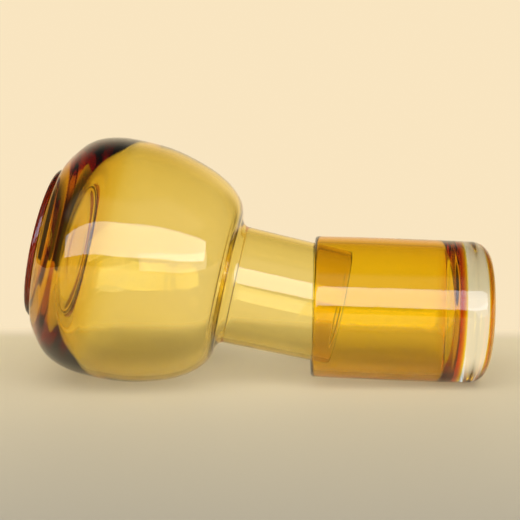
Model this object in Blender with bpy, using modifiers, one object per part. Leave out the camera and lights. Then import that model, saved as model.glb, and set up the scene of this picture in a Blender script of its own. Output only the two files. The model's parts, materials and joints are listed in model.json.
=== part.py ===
"""Bedside carafe of blown amber glass with its amber tumbler slipped over the neck.

The set lies on its side.  The carafe rests on the swell of its body, neck pointing
slightly down towards +X; the tumbler rests on its thick clear base and hangs by its
rim on the neck.  Metres, +Z up, both axes in the plane Y = 0, the surface they lie on
at Z = 0.  Pieces:
  carafe        one blown vessel: foot, thick heel, body, shoulder, neck
  tumbler_cup   amber cup of the tumbler
  tumbler_base  clear, thick, rounded base fused under the cup
"""

import math

import bmesh
import bpy
import numpy as np
from mathutils import Matrix, Vector

MM = 0.001

# ---------------------------------------------------------------- driving dimensions (mm)
STEPS = 48                     # facets round every turned piece
FACET_TURN = math.pi / STEPS   # turns a flat, not a ridge, to the underside

# carafe, heights from the foot, along its own axis
FOOT_FLAT_R = 35.6             # flat face under the foot
FOOT_R = 37.4                  # foot disc
FOOT_EDGE = 1.8                # rounding of its lower edge
GROOVE_Z = 3.3                 # groove between the foot disc and the heel
GROOVE_R = 37.0
BODY_KEYS = (                  # outside of the body: (height, radius)
    (3.6, 38.6), (4.3, 42.0), (7.5, 47.3), (13.0, 53.6), (22.5, 58.3),
    (38.0, 60.0), (54.0, 59.1), (69.0, 55.4), (80.0, 50.9), (88.0, 45.2),
    (92.4, 39.6), (93.9, 35.2))
NECK_R_ROOT = 29.5             # the shoulder turns sharply into the neck
NECK_R_MOUTH = 28.55
NECK_ROOT_Z = 98.2
CARAFE_H = 151.0
NECK_WALL = 2.4
LIP_R = 1.15                   # fire-polished lip
FLOOR_Z = 6.0                  # inside floor above the foot
FLOOR_RISE = 0.9               # slight doming of that floor
FLOOR_R = 25.0
HEEL_KEYS = (                  # inside of the thick heel: (height, radius)
    (6.8, 30.0), (9.6, 35.5), (12.8, 41.0), (15.6, 46.0), (19.6, 50.4), (26.5, 54.6))
WALL_BELLY = 3.0
WALL_SHOULDER = 2.3
HEEL_JOIN_Z = 36.0             # above this the wall is even

# tumbler, heights from its base, along its own axis
TUMBLER_H = 86.8
TUMBLER_R = 35.0               # at the base and the rim
TUMBLER_SWELL = 0.3            # soft swelling half way up
HEEL_R = 9.5                   # rounded edge of the clear base
SPLIT_Z = 14.2                 # clear below, amber above
CUP_FLOOR_Z = 16.5             # inside floor of the amber cup
CUP_FLOOR_R = 23.0             # flat part of it
CUP_CORNER_H = 8.0             # height of the rounded inside corner
CUP_WALL = 3.3
RIM_R = 1.63                   # fire-polished to a full half round
SLIT = 0.3                     # left open between the two fused glasses

# how the set lies
CARAFE_PITCH = math.radians(12.47)   # neck end down
TUMBLER_PITCH = math.radians(1.93)   # rim end up
CARAFE_X = -106.89                   # centre of the foot
TUMBLER_X = 113.71                   # centre of the tumbler's base


# ---------------------------------------------------------------- helpers
def spline(keys, per_span):
    """Natural cubic through the keys, run by chord length; per_span points a span."""
    p = np.array(keys, float)
    t = np.concatenate([[0.0], np.cumsum(np.linalg.norm(np.diff(p, axis=0), axis=1))])
    n = len(t)
    h = np.diff(t)
    a = np.zeros((n, n))
    b = np.zeros((n, 2))
    a[0, 0] = a[-1, -1] = 1.0
    for i in range(1, n - 1):
        a[i, i - 1], a[i, i], a[i, i + 1] = h[i - 1], 2 * (h[i - 1] + h[i]), h[i]
        b[i] = 6 * ((p[i + 1] - p[i]) / h[i] - (p[i] - p[i - 1]) / h[i - 1])
    m = np.linalg.solve(a, b)
    out = []
    for i in range(n - 1):
        for k in range(per_span):
            x = h[i] * k / per_span
            y = h[i] - x
            out.append((m[i] * y ** 3 + m[i + 1] * x ** 3) / (6 * h[i])
                       + (p[i] / h[i] - m[i] * h[i] / 6) * y
                       + (p[i + 1] / h[i] - m[i + 1] * h[i] / 6) * x)
    out.append(p[-1])
    return [tuple(q) for q in out]


def arc(cz, cr, rz, rr, start, end, n):
    """n + 1 points (height, radius) of an ellipse quarter; angles in degrees from +radius."""
    return [(cz + rz * math.sin(math.radians(start + (end - start) * k / n)),
             cr + rr * math.cos(math.radians(start + (end - start) * k / n)))
            for k in range(n + 1)]


def offset_in(points, wall):
    """Points moved square to the curve, towards the axis, by wall(height)."""
    out = []
    for i, (z, r) in enumerate(points):
        z0, r0 = points[max(i - 1, 0)]
        z1, r1 = points[min(i + 1, len(points) - 1)]
        n = math.hypot(z1 - z0, r1 - r0)
        w = wall(z)
        out.append((z + w * (r1 - r0) / n, r - w * (z1 - z0) / n))
    return out


def tidy(points, gap=0.25):
    out = [points[0]]
    for q in points[1:]:
        if math.hypot(q[0] - out[-1][0], q[1] - out[-1][1]) > gap:
            out.append(q)
    return out


# ---------------------------------------------------------------- profiles, (height, radius)
def foot_outside():
    low = arc(FOOT_EDGE, FOOT_FLAT_R, FOOT_EDGE, FOOT_R - FOOT_FLAT_R, -90, 0, 3)
    return [(0.0, 0.0)] + low + [(GROOVE_Z, GROOVE_R)]


def body_outside():
    return spline(BODY_KEYS, 2)


def neck_outside():
    z0, r0 = BODY_KEYS[-1]
    fillet = [(z0 + (NECK_ROOT_Z - z0) * (1 - math.cos(u)),
               r0 + (NECK_R_ROOT - r0) * math.sin(u)) for u in (0.42, 0.85, 1.22, math.pi / 2)]
    straight = []
    for k in range(1, 4):
        f = k / 3
        straight.append((NECK_ROOT_Z + (CARAFE_H - LIP_R - NECK_ROOT_Z) * f,
                         NECK_R_ROOT + (NECK_R_MOUTH - NECK_R_ROOT) * f))
    return fillet + straight


def carafe_profile():
    outside = foot_outside() + body_outside() + neck_outside()
    lip = arc(CARAFE_H - LIP_R, NECK_R_MOUTH - LIP_R, LIP_R, LIP_R, 0, 180, 4)[1:]
    # inside: floor, thick heel, then an even wall up to the shoulder
    upper = [q for q in body_outside() if q[0] > HEEL_JOIN_Z]
    wall = lambda z: WALL_BELLY + (WALL_SHOULDER - WALL_BELLY) * min(1.0, max(0.0, (z - 45) / 40))
    even = offset_in(upper, wall)[:-1]
    heel = spline(((FLOOR_Z, FLOOR_R),) + HEEL_KEYS + (even[0], even[1]), 2)[:-3]
    zi, ri = even[-1]
    root = (NECK_ROOT_Z - 1.0, NECK_R_ROOT - NECK_WALL)
    turn = [(zi + (root[0] - zi) * (1 - math.cos(u)), ri + (root[1] - ri) * math.sin(u))
            for u in (0.5, 1.0, math.pi / 2)]
    bore = [(root[0] + (CARAFE_H - LIP_R - root[0]) * f,
             root[1] + (NECK_R_MOUTH - 2 * LIP_R - root[1]) * f) for f in (0.5,)]
    floor = [(FLOOR_Z + FLOOR_RISE, 0.0), (FLOOR_Z + FLOOR_RISE * 0.6, FLOOR_R * 0.6)]
    inside = floor + heel + even + turn + bore
    return inside, outside + lip


def tumbler_radius(z):
    f = (z - HEEL_R) / (TUMBLER_H - HEEL_R)
    return TUMBLER_R + TUMBLER_SWELL * 4 * f * (1 - f) if f > 0 else TUMBLER_R


def cup_profile():
    outside = [(SPLIT_Z + SLIT / 2, 0.0)]
    n = 5
    for k in range(n + 1):
        z = SPLIT_Z + SLIT / 2 + (TUMBLER_H - RIM_R - SPLIT_Z - SLIT / 2) * k / n
        outside.append((z, tumbler_radius(z)))
    rim = arc(TUMBLER_H - RIM_R, TUMBLER_R - RIM_R, RIM_R, RIM_R, 0, 180, 4)[1:-1]
    inside = [(CUP_FLOOR_Z, 0.0)]
    wall_r = TUMBLER_R - CUP_WALL
    inside += arc(CUP_FLOOR_Z + CUP_CORNER_H, CUP_FLOOR_R, CUP_CORNER_H, wall_r - CUP_FLOOR_R, -90, 0, 6)
    inside += [(z, tumbler_radius(z) - CUP_WALL) for z in (52.0, TUMBLER_H - RIM_R)]
    return inside, outside + rim


def base_profile():
    top = SPLIT_Z - SLIT / 2
    side = arc(HEEL_R, TUMBLER_R - HEEL_R, HEEL_R, HEEL_R, -90, 0, 6)
    return [(top, 0.0)], [(0.0, 0.0)] + side + [(top, tumbler_radius(top))]


# ---------------------------------------------------------------- building
def wipe():
    for obj in list(bpy.data.objects):
        bpy.data.objects.remove(obj, do_unlink=True)


def collection(name):
    col = bpy.data.collections.new(name)
    bpy.context.scene.collection.children.link(col)
    return col


def material(name, colour, roughness):
    mat = bpy.data.materials.new(name)
    mat.use_nodes = True
    bsdf = mat.node_tree.nodes["Principled BSDF"]
    bsdf.inputs["Base Color"].default_value = (*colour, 1.0)
    bsdf.inputs["Roughness"].default_value = roughness
    bsdf.inputs["Metallic"].default_value = 0.0
    bsdf.inputs["IOR"].default_value = 1.51
    bsdf.inputs["Transmission Weight"].default_value = 1.0
    mat.diffuse_color = (*colour, 1.0)
    return mat


def turned(name, inside, outside, mat, col, matrix):
    """Vessel turned from two runs of (height, radius) that both start on the axis."""
    run = tidy(inside) + tidy(outside)[::-1]     # up the inside, over the top, down the outside
    mesh = bpy.data.meshes.new(name)
    bm = bmesh.new()
    verts = [bm.verts.new((r * MM, 0.0, z * MM)) for z, r in run]
    for a, b in zip(verts, verts[1:]):
        bm.edges.new((a, b))
    bm.to_mesh(mesh)
    bm.free()
    obj = bpy.data.objects.new(name, mesh)
    col.objects.link(obj)
    obj.matrix_world = matrix
    screw = obj.modifiers.new("turned", "SCREW")
    screw.axis = "Z"
    screw.angle = 2 * math.pi
    screw.steps = STEPS
    screw.render_steps = STEPS
    screw.use_merge_vertices = True
    screw.merge_threshold = 0.00005
    screw.use_smooth_shade = True
    mesh.materials.append(mat)
    return obj


def lying(pitch, x, profile, towards):
    """Frame whose +Z is the vessel's axis, resting on Z = 0; towards = +1 neck to +X, -1 rim to -X."""
    c, s = math.cos(pitch), math.sin(pitch)
    flat = math.cos(FACET_TURN)
    drop = -s if towards > 0 else s              # rise of the axis a millimetre along it
    low = min(z * drop - r * flat * c for z, r in profile)
    turn = math.pi / 2 + pitch if towards > 0 else -(math.pi / 2 - pitch)
    return (Matrix.Translation(Vector((x, 0.0, -low)) * MM)
            @ Matrix.Rotation(turn, 4, "Y") @ Matrix.Rotation(FACET_TURN, 4, "Z"))


def main():
    wipe()
    col = collection("amber_bedside_carafe")

    amber = material("amber_glass_carafe", (0.86, 0.52, 0.06), 0.02)
    amber_cup = material("amber_glass_tumbler", (0.80, 0.44, 0.04), 0.02)
    clear = material("clear_glass_base", (0.93, 0.92, 0.89), 0.02)

    inside, outside = carafe_profile()
    place = lying(CARAFE_PITCH, CARAFE_X, outside, 1)
    turned("carafe", inside, outside, amber, col, place)

    cup_in, cup_out = cup_profile()
    base_in, base_out = base_profile()
    place = lying(TUMBLER_PITCH, TUMBLER_X, base_out + cup_out, -1)
    turned("tumbler_cup", cup_in, cup_out, amber_cup, col, place)
    turned("tumbler_base", base_in, base_out, clear, col, place)


main()
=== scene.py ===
import json
import math

import bpy
import numpy as np
from mathutils import Matrix, Vector


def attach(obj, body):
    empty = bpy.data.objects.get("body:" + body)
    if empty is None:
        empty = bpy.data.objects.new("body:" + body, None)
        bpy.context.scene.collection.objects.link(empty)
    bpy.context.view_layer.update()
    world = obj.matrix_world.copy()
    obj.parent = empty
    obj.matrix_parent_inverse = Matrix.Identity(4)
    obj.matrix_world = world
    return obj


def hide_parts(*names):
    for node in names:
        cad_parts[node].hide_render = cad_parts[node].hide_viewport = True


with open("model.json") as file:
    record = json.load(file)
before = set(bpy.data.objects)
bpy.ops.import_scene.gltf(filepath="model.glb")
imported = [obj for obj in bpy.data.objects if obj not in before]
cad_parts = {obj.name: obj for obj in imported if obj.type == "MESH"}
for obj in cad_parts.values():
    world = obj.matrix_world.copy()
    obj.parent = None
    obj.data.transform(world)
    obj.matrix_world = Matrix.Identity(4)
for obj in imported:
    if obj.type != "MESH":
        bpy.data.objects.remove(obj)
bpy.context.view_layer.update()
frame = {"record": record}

MM = 0.001

# ---------------------------------------------------------------- shape (mm), as in the frame
FOOT_FLAT_R, FOOT_R, FOOT_EDGE = 35.6, 37.4, 1.8
GROOVE_Z, GROOVE_R = 3.3, 37.0
BODY_KEYS = (
    (3.6, 38.6), (4.3, 42.0), (7.5, 47.3), (13.0, 53.6), (22.5, 58.3),
    (38.0, 60.0), (54.0, 59.1), (69.0, 55.4), (80.0, 50.9), (88.0, 45.2),
    (92.4, 39.6), (93.9, 35.2))
NECK_R_ROOT, NECK_R_MOUTH, NECK_ROOT_Z = 29.5, 28.55, 98.2
CARAFE_H, NECK_WALL, LIP_R = 151.0, 2.4, 1.15
FLOOR_Z, FLOOR_RISE, FLOOR_R = 6.0, 0.9, 25.0
HEEL_KEYS = ((6.8, 30.0), (9.6, 35.5), (12.8, 41.0), (15.6, 46.0), (19.6, 50.4), (26.5, 54.6))
WALL_BELLY, WALL_SHOULDER, HEEL_JOIN_Z = 3.0, 2.3, 36.0

TUMBLER_H, TUMBLER_R, TUMBLER_SWELL = 86.8, 35.0, 0.3
HEEL_R, SPLIT_Z = 9.5, 14.2
CUP_FLOOR_Z, CUP_FLOOR_R, CUP_CORNER_H, CUP_WALL, RIM_R = 16.5, 23.0, 8.0, 3.3, 1.63

CARAFE_PITCH, TUMBLER_PITCH = math.radians(12.47), math.radians(1.93)
SEAM_GAP = 0.006

STEPS = 180
MOUNTS = {m["name"]: m for m in frame["record"]["mounts"]}


# ---------------------------------------------------------------- curves
def spline(keys, per_span):
    p = np.array(keys, float)
    t = np.concatenate([[0.0], np.cumsum(np.linalg.norm(np.diff(p, axis=0), axis=1))])
    n = len(t)
    h = np.diff(t)
    a = np.zeros((n, n))
    b = np.zeros((n, 2))
    a[0, 0] = a[-1, -1] = 1.0
    for i in range(1, n - 1):
        a[i, i - 1], a[i, i], a[i, i + 1] = h[i - 1], 2 * (h[i - 1] + h[i]), h[i]
        b[i] = 6 * ((p[i + 1] - p[i]) / h[i] - (p[i] - p[i - 1]) / h[i - 1])
    m = np.linalg.solve(a, b)
    out = []
    for i in range(n - 1):
        for k in range(per_span):
            x = h[i] * k / per_span
            y = h[i] - x
            out.append((m[i] * y ** 3 + m[i + 1] * x ** 3) / (6 * h[i])
                       + (p[i] / h[i] - m[i] * h[i] / 6) * y
                       + (p[i + 1] / h[i] - m[i + 1] * h[i] / 6) * x)
    out.append(p[-1])
    return [tuple(float(c) for c in q) for q in out]


def arc(cz, cr, rz, rr, start, end, n):
    return [(cz + rz * math.sin(math.radians(start + (end - start) * k / n)),
             cr + rr * math.cos(math.radians(start + (end - start) * k / n)))
            for k in range(n + 1)]


def offset_in(points, wall):
    out = []
    for i, (z, r) in enumerate(points):
        z0, r0 = points[max(i - 1, 0)]
        z1, r1 = points[min(i + 1, len(points) - 1)]
        n = math.hypot(z1 - z0, r1 - r0)
        w = wall(z)
        out.append((z + w * (r1 - r0) / n, r - w * (z1 - z0) / n))
    return out


def even(points, step):
    """The same line with its points about step apart."""
    p = np.array(points, float)
    d = np.linalg.norm(np.diff(p, axis=0), axis=1)
    p = p[np.concatenate([[True], d > 1e-6])]
    t = np.concatenate([[0.0], np.cumsum(np.linalg.norm(np.diff(p, axis=0), axis=1))])
    n = max(2, int(round(t[-1] / step)))
    s = np.linspace(0, t[-1], n + 1)
    return list(zip(np.interp(s, t, p[:, 0]), np.interp(s, t, p[:, 1])))


def smooth(points, keep=1, rounds=2):
    p = np.array(points, float)
    for _ in range(rounds):
        q = p.copy()
        q[keep:-keep] = (p[keep - 1:-keep - 1] + 2 * p[keep:-keep] + p[keep + 1:][:len(p) - 2 * keep]) / 4
        p = q
    return [tuple(q) for q in p]


def carafe_profile():
    body = spline(BODY_KEYS, 12)
    z0, r0 = BODY_KEYS[-1]
    foot = [(0.0, FOOT_FLAT_R * k / 14) for k in range(14)] + \
        arc(FOOT_EDGE, FOOT_FLAT_R, FOOT_EDGE, FOOT_R - FOOT_FLAT_R, -90, 0, 10) + [(GROOVE_Z - 0.4, FOOT_R - 0.15)]
    groove = spline(((GROOVE_Z - 0.4, FOOT_R - 0.15), (GROOVE_Z, GROOVE_R), (GROOVE_Z + 0.3, GROOVE_R + 1.4)), 6)[1:-1]
    fillet = [(z0 + (NECK_ROOT_Z - z0) * (1 - math.cos(u)), r0 + (NECK_R_ROOT - r0) * math.sin(u))
              for u in np.linspace(0, math.pi / 2, 14)[1:]]
    top = CARAFE_H - LIP_R
    neck = [(NECK_ROOT_Z + (top - NECK_ROOT_Z) * f, NECK_R_ROOT + (NECK_R_MOUTH - NECK_R_ROOT) * f)
            for f in np.linspace(0, 1, 40)[1:]]
    outside = foot + groove + body[1:] + fillet + neck
    lip = arc(top, NECK_R_MOUTH - LIP_R, LIP_R, LIP_R, 0, 180, 16)[1:]

    wall = lambda z: WALL_BELLY + (WALL_SHOULDER - WALL_BELLY) * min(1.0, max(0.0, (z - 45) / 40))
    upper = offset_in([q for q in body if q[0] > HEEL_JOIN_Z], wall)
    heel = spline(((FLOOR_Z + FLOOR_RISE * 0.6, FLOOR_R * 0.6), (FLOOR_Z, FLOOR_R)) + HEEL_KEYS + (upper[0], upper[3]), 10)[:-11]
    zi, ri = upper[-4]
    root = (NECK_ROOT_Z - 1.0, NECK_R_ROOT - NECK_WALL)
    turn = [(zi + (root[0] - zi) * (1 - math.cos(u)), ri + (root[1] - ri) * math.sin(u))
            for u in np.linspace(0, math.pi / 2, 12)[1:]]
    r_in = NECK_R_MOUTH - 2 * LIP_R
    bore = [(root[0] + (top - root[0]) * f, root[1] + (r_in - root[1]) * f) for f in np.linspace(0, 1, 40)[1:-1]]
    floor = [(FLOOR_Z + FLOOR_RISE * (1 - 0.4 * (k / 8) ** 2), FLOOR_R * 0.6 * k / 8) for k in range(8)]
    inside = floor + heel + upper[:-3] + turn + bore
    return inside, outside + lip


def tumbler_radius(z):
    f = (z - HEEL_R) / (TUMBLER_H - HEEL_R)
    return TUMBLER_R + TUMBLER_SWELL * 4 * f * (1 - f) if f > 0 else TUMBLER_R


def cup_profile():
    low = SPLIT_Z + SEAM_GAP / 2
    seam = [(low, tumbler_radius(low) * k / 16) for k in range(17)]
    side = [(z, tumbler_radius(z)) for z in np.linspace(low, TUMBLER_H - RIM_R, 60)][1:]
    rim = arc(TUMBLER_H - RIM_R, TUMBLER_R - RIM_R, RIM_R, RIM_R, 0, 180, 16)[1:]
    wall_r = TUMBLER_R - CUP_WALL
    floor = [(CUP_FLOOR_Z, CUP_FLOOR_R * k / 12) for k in range(12)]
    corner = arc(CUP_FLOOR_Z + CUP_CORNER_H, CUP_FLOOR_R, CUP_CORNER_H, wall_r - CUP_FLOOR_R, -90, 0, 24)
    z0 = CUP_FLOOR_Z + CUP_CORNER_H
    inner = []
    for z in np.linspace(z0, TUMBLER_H - RIM_R, 40)[1:-1]:
        f = min(1.0, (z - z0) / 23.0)
        inner.append((z, tumbler_radius(z) - CUP_WALL - (tumbler_radius(z) - TUMBLER_R) * (1 - f)))
    end = (TUMBLER_H - RIM_R, TUMBLER_R - 2 * RIM_R)
    inner[-1] = (inner[-1][0], (inner[-1][1] + end[1]) / 2)
    return floor + corner + inner, seam + side + rim


def base_profile():
    top = SPLIT_Z - SEAM_GAP / 2
    flat = [(0.0, (TUMBLER_R - HEEL_R) * k / 12) for k in range(12)]
    side = arc(HEEL_R, TUMBLER_R - HEEL_R, HEEL_R, HEEL_R, -90, 0, 28)
    wall = [(z, tumbler_radius(z)) for z in np.linspace(HEEL_R, top, 8)][1:]
    seam = [(top, tumbler_radius(top) * k / 16) for k in range(15, -1, -1)]
    return [], flat + side + wall + seam


# ---------------------------------------------------------------- turning
def turned(name, inside, outside, matrix, body, node, mat, seam_z=None):
    """Closed vessel turned from (height, radius) points; the last point lies on the axis."""
    run = list(inside) + list(outside)[::-1]
    run = [q for i, q in enumerate(run) if i == 0 or math.hypot(q[0] - run[i - 1][0], q[1] - run[i - 1][1]) > 1e-4]
    verts, rings = [], []
    for i, (z, r) in enumerate(run):
        if r < 1e-6:
            rings.append([len(verts)])
            verts.append((0.0, 0.0, z * MM))
            continue
        ring = []
        for k in range(STEPS):
            a = 2 * math.pi * k / STEPS
            ring.append(len(verts))
            verts.append((r * MM * math.cos(a), r * MM * math.sin(a), z * MM))
        rings.append(ring)
    faces = []
    for lo, hi in zip(rings, rings[1:]):
        for k in range(STEPS):
            k2 = (k + 1) % STEPS
            if len(lo) == 1:
                faces.append((lo[0], hi[k], hi[k2]))
            elif len(hi) == 1:
                faces.append((lo[k], hi[0], lo[k2]))
            else:
                faces.append((lo[k], hi[k], hi[k2], lo[k2]))
    mesh = bpy.data.meshes.new(name)
    mesh.from_pydata(verts, [], faces)
    mesh.update()
    obj = bpy.data.objects.new(name, mesh)
    bpy.context.scene.collection.objects.link(obj)
    # closed mesh: turn every face outwards if the enclosed volume comes out negative
    co = np.array(verts)
    vol = 0.0
    for f in faces:
        p = co[list(f)]
        for j in range(1, len(f) - 1):
            vol += float(np.dot(p[0], np.cross(p[j], p[j + 1])))
    if vol < 0:
        mesh.flip_normals()
    mesh.shade_smooth()
    mesh.set_sharp_from_angle(angle=math.radians(38))
    mesh.materials.append(mat)
    if seam_z is not None:
        att = mesh.attributes.new("seam", "FLOAT", "FACE")
        flags = [1.0 if abs(p.center.z / MM - seam_z) < 0.004 and abs(p.normal.z) > 0.99 else 0.0 for p in mesh.polygons]
        att.data.foreach_set("value", flags)
    mesh.transform(matrix)
    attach(obj, body)
    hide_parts(node)
    return obj


def lying(mount, pitch, towards):
    x, y, z = MOUNTS[mount]["pos_m"]
    turn = math.pi / 2 + pitch if towards > 0 else -(math.pi / 2 - pitch)
    return Matrix.Translation(Vector((x, y, z))) @ Matrix.Rotation(turn, 4, "Y")


# ---------------------------------------------------------------- materials
def glass(name, absorb, density, fused=False, ior=1.51, wave=0.12, haze=0.016):
    """Blown glass: body colour from its thickness, slow waviness and faint wipe marks from nodes."""
    mat = bpy.data.materials.new(name)
    mat.use_nodes = True
    nt = mat.node_tree
    n = nt.nodes
    bsdf = n["Principled BSDF"]
    bsdf.inputs["Base Color"].default_value = (1, 1, 1, 1)
    bsdf.inputs["Metallic"].default_value = 0.0
    bsdf.inputs["IOR"].default_value = ior
    bsdf.inputs["Transmission Weight"].default_value = 1.0
    bsdf.inputs["Roughness"].default_value = 0.0
    tc = n.new("ShaderNodeTexCoord")
    slow = n.new("ShaderNodeTexNoise")
    slow.inputs["Scale"].default_value = 26.0
    slow.inputs["Detail"].default_value = 1.0
    fine = n.new("ShaderNodeTexNoise")
    fine.inputs["Scale"].default_value = 140.0
    fine.inputs["Detail"].default_value = 3.0
    for tex in (slow, fine):
        nt.links.new(tc.outputs["Object"], tex.inputs["Vector"])
    bump = n.new("ShaderNodeBump")
    bump.inputs["Strength"].default_value = wave
    bump.inputs["Distance"].default_value = 0.001
    nt.links.new(slow.outputs["Fac"], bump.inputs["Height"])
    nt.links.new(bump.outputs["Normal"], bsdf.inputs["Normal"])
    marks = n.new("ShaderNodeMapRange")
    for key, value in (("From Min", 0.48), ("From Max", 0.78), ("To Min", 0.0), ("To Max", haze)):
        marks.inputs[key].default_value = value
    nt.links.new(fine.outputs["Fac"], marks.inputs["Value"])
    nt.links.new(marks.outputs[0], bsdf.inputs["Roughness"])
    if fused:
        # the face where the two glasses are one: light crosses it without bending
        att = n.new("ShaderNodeAttribute")
        att.attribute_name = "seam"
        m = n.new("ShaderNodeMath")
        m.operation = "MULTIPLY_ADD"
        m.inputs[1].default_value = 1.0 - ior
        m.inputs[2].default_value = ior
        nt.links.new(att.outputs["Fac"], m.inputs[0])
        nt.links.new(m.outputs[0], bsdf.inputs["IOR"])
    if density > 0:
        vol = n.new("ShaderNodeVolumeAbsorption")
        vol.inputs["Color"].default_value = (*absorb, 1)
        vol.inputs["Density"].default_value = density
        nt.links.new(vol.outputs[0], n["Material Output"].inputs["Volume"])
    return mat


def floor_material():
    mat = bpy.data.materials.new("pale_floor")
    mat.use_nodes = True
    nt = mat.node_tree
    n = nt.nodes
    bsdf = n["Principled BSDF"]
    tc = n.new("ShaderNodeTexCoord")
    sep = n.new("ShaderNodeSeparateXYZ")
    nt.links.new(tc.outputs["Object"], sep.inputs[0])
    mp = n.new("ShaderNodeMapRange")
    mp.interpolation_type = "SMOOTHERSTEP"
    mp.inputs["From Min"].default_value = 0.108
    mp.inputs["From Max"].default_value = 0.136
    nt.links.new(sep.outputs["Y"], mp.inputs["Value"])
    # painted light and shade: the floor colour is darker towards the front and brighter just behind the object, where
    # it lifts the floor inside the object's shadow
    front = n.new("ShaderNodeMapRange")
    front.inputs["From Min"].default_value = -0.22
    front.inputs["From Max"].default_value = 0.10
    nt.links.new(sep.outputs["Y"], front.inputs["Value"])
    painted_light_ramp = n.new("ShaderNodeMix")
    painted_light_ramp.data_type = "RGBA"
    painted_light_ramp.inputs["A"].default_value = (0.46, 0.42, 0.325, 1)
    painted_light_ramp.inputs["B"].default_value = (0.90, 0.775, 0.505, 1)
    nt.links.new(front.outputs[0], painted_light_ramp.inputs["Factor"])
    mix = n.new("ShaderNodeMix")
    mix.data_type = "RGBA"
    nt.links.new(painted_light_ramp.outputs["Result"], mix.inputs["A"])
    mix.inputs["B"].default_value = (0.90, 0.77, 0.53, 1)
    nt.links.new(mp.outputs[0], mix.inputs["Factor"])
    nt.links.new(mix.outputs["Result"], bsdf.inputs["Base Color"])
    bsdf.inputs["Roughness"].default_value = 0.55
    bsdf.inputs["Specular IOR Level"].default_value = 0.1
    # beyond the table's back edge, and far off on every side, the floor runs into the pale backdrop
    back = n.new("ShaderNodeMapRange")
    back.interpolation_type = "SMOOTHSTEP"
    back.inputs["From Min"].default_value = 0.108
    back.inputs["From Max"].default_value = 0.15
    nt.links.new(sep.outputs["Y"], back.inputs["Value"])
    ln = n.new("ShaderNodeVectorMath")
    ln.operation = "LENGTH"
    nt.links.new(tc.outputs["Object"], ln.inputs[0])
    off = n.new("ShaderNodeMapRange")
    off.interpolation_type = "SMOOTHSTEP"
    off.inputs["From Min"].default_value = 0.4
    off.inputs["From Max"].default_value = 1.0
    nt.links.new(ln.outputs["Value"], off.inputs["Value"])
    far = n.new("ShaderNodeMath")
    far.operation = "MAXIMUM"
    nt.links.new(back.outputs[0], far.inputs[0])
    nt.links.new(off.outputs[0], far.inputs[1])
    glow = n.new("ShaderNodeEmission")
    glow.inputs["Color"].default_value = (0.95, 0.785, 0.53, 1)
    ms = n.new("ShaderNodeMixShader")
    nt.links.new(far.outputs[0], ms.inputs[0])
    nt.links.new(bsdf.outputs[0], ms.inputs[1])
    nt.links.new(glow.outputs[0], ms.inputs[2])
    nt.links.new(ms.outputs[0], n["Material Output"].inputs["Surface"])
    return mat


# ---------------------------------------------------------------- object
amber = glass("amber_glass_carafe", (0.94, 0.832, 0.13), 310.0)
amber_cup = glass("amber_glass_tumbler", (0.972, 0.885, 0.03), 720.0, fused=True)
clear = glass("clear_glass_base", (0.75, 0.8, 0.6), 6.0, fused=True)

inside, outside = carafe_profile()
turned("carafe_glass", inside, outside, lying("carafe_foot", CARAFE_PITCH, 1), "carafe", "carafe", amber)
place = lying("tumbler_bottom", TUMBLER_PITCH, -1)
inside, outside = cup_profile()
turned("tumbler_cup_glass", inside, outside, place, "tumbler", "tumbler_cup", amber_cup,
       seam_z=SPLIT_Z + SEAM_GAP / 2)
inside, outside = base_profile()
turned("tumbler_base_glass", inside, outside, place, "tumbler", "tumbler_base", clear,
       seam_z=SPLIT_Z - SEAM_GAP / 2)

# ---------------------------------------------------------------- stage
FLOOR_Z_M = -0.00016
mesh = bpy.data.meshes.new("floor")
s = 6.0
mesh.from_pydata([(-s, -s, 0), (s, -s, 0), (s, s, 0), (-s, s, 0)], [], [(0, 1, 2, 3)])
floor = bpy.data.objects.new("floor", mesh)
bpy.context.scene.collection.objects.link(floor)
floor.location.z = FLOOR_Z_M
mesh.materials.append(floor_material())

world = bpy.data.worlds.new("studio")
bpy.context.scene.world = world
world.use_nodes = True
nt = world.node_tree
bg = nt.nodes["Background"]
tc = nt.nodes.new("ShaderNodeTexCoord")
sep = nt.nodes.new("ShaderNodeSeparateXYZ")
nt.links.new(tc.outputs["Generated"], sep.inputs[0])


def node(kind, **kw):
    x = nt.nodes.new(kind)
    for k, v in kw.items():
        setattr(x, k, v)
    return x


def ranged(source, lo, hi, out_lo=0.0, out_hi=1.0):
    x = node("ShaderNodeMapRange", interpolation_type="SMOOTHSTEP")
    for k, v in (("From Min", lo), ("From Max", hi), ("To Min", out_lo), ("To Max", out_hi)):
        x.inputs[k].default_value = v
    nt.links.new(source, x.inputs["Value"])
    return x.outputs[0]


def times(a, b):
    x = node("ShaderNodeMath", operation="MULTIPLY")
    nt.links.new(a, x.inputs[0])
    nt.links.new(b, x.inputs[1])
    return x.outputs[0]


def blend(factor, low, high):
    x = node("ShaderNodeMix", data_type="RGBA")
    for key, value in (("A", low), ("B", high)):
        if isinstance(value, tuple):
            x.inputs[key].default_value = (*value, 1)
        else:
            nt.links.new(value, x.inputs[key])
    nt.links.new(factor, x.inputs["Factor"])
    return x.outputs["Result"]


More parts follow.
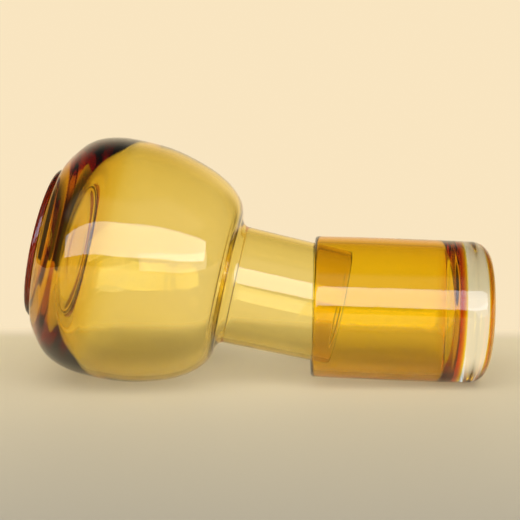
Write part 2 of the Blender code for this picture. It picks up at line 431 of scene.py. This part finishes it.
# a pale board behind, a pale ceiling in front, a dim room elsewhere; the camera itself sees one even pale tone
board = times(times(ranged(sep.outputs["Y"], 0.05, 0.55), ranged(sep.outputs["Z"], 0.35, 0.85, 1.0, 0.0)),
              times(ranged(sep.outputs["X"], -0.68, -0.36), ranged(sep.outputs["X"], 0.34, 0.62, 1.0, 0.0)))
ceiling = times(times(ranged(sep.outputs["Y"], -0.3, -0.05, 1.0, 0.0), ranged(sep.outputs["Z"], 0.5, 0.62)),
                ranged(sep.outputs["Z"], 0.85, 0.93, 1.0, 0.0))
seen = node("ShaderNodeLightPath")
most = node("ShaderNodeMath", operation="MAXIMUM")
nt.links.new(board, most.inputs[0])
nt.links.new(seen.outputs["Is Camera Ray"], most.inputs[1])
room = blend(ceiling, (0.07, 0.066, 0.063), (0.5, 0.49, 0.48))
nt.links.new(blend(most.outputs[0], room, (0.95, 0.785, 0.53)), bg.inputs["Color"])
bg.inputs["Strength"].default_value = 1.0
world.cycles_visibility.diffuse = False


def panel(name, centre, aim, size_x, size_y, radiance, colour=(1.0, 0.97, 0.93)):
    light = bpy.data.lights.new(name, "AREA")
    light.shape = "RECTANGLE"
    light.size, light.size_y = size_x, size_y
    light.energy = radiance * math.pi * size_x * size_y
    light.color = colour
    obj = bpy.data.objects.new(name, light)
    bpy.context.scene.collection.objects.link(obj)
    obj.location = centre
    obj.rotation_euler = (Vector(aim) - Vector(centre)).to_track_quat("-Z", "Y").to_euler()
    obj.visible_camera = False
    return obj


window = panel("window_light", (0.35, -2.2, 1.15), (0.0, 0.0, 0.15), 7.4, 1.35, 5.0, (0.73, 0.79, 1.0))
low_window = panel("low_window_light", (1.95, -2.2, 0.42), (0.3, 0.0, 0.1), 3.2, 0.9, 2.2, (0.85, 0.86, 1.0))
window.visible_diffuse = low_window.visible_diffuse = False
sky = panel("soft_fill", (0.0, -1.0, 1.6), (0.0, 0.0, 0.0), 3.2, 3.2, 0.3)
even = panel("even_fill", (0.0, -1.6, 1.4), (0.0, 0.0, 0.0), 3.0, 2.0, 4.0)
even.data.use_shadow = False
for lamp in (sky, even):
    lamp.visible_glossy = lamp.visible_transmission = False

# ---------------------------------------------------------------- camera
cam_data = bpy.data.cameras.new("camera")
cam = bpy.data.objects.new("camera", cam_data)
bpy.context.scene.collection.objects.link(cam)
cam_data.sensor_width = 36.0
cam_data.lens = 1250.0 / 520.0 * 36.0
az, el, roll = math.radians(2.14), math.radians(7.0), math.radians(-0.11)
target = Vector((0.66, 0.0, 60.66)) * MM
back = Vector((math.sin(az) * math.cos(el), -math.cos(az) * math.cos(el), math.sin(el)))
cam.location = target + back * 0.6221
cam.rotation_mode = "QUATERNION"
cam.rotation_quaternion = (-back).to_track_quat("-Z", "Y") @ Matrix.Rotation(roll, 3, "Z").to_quaternion()
cam_data.clip_start, cam_data.clip_end = 0.01, 50.0
bpy.context.scene.camera = cam

sc = bpy.context.scene
sc.view_settings.view_transform = "Standard"
sc.cycles.max_bounces = 32
sc.cycles.transmission_bounces = 28
sc.cycles.glossy_bounces = 12
sc.cycles.transparent_max_bounces = 24
sc.cycles.diffuse_bounces = 3
sc.cycles.volume_bounces = 0
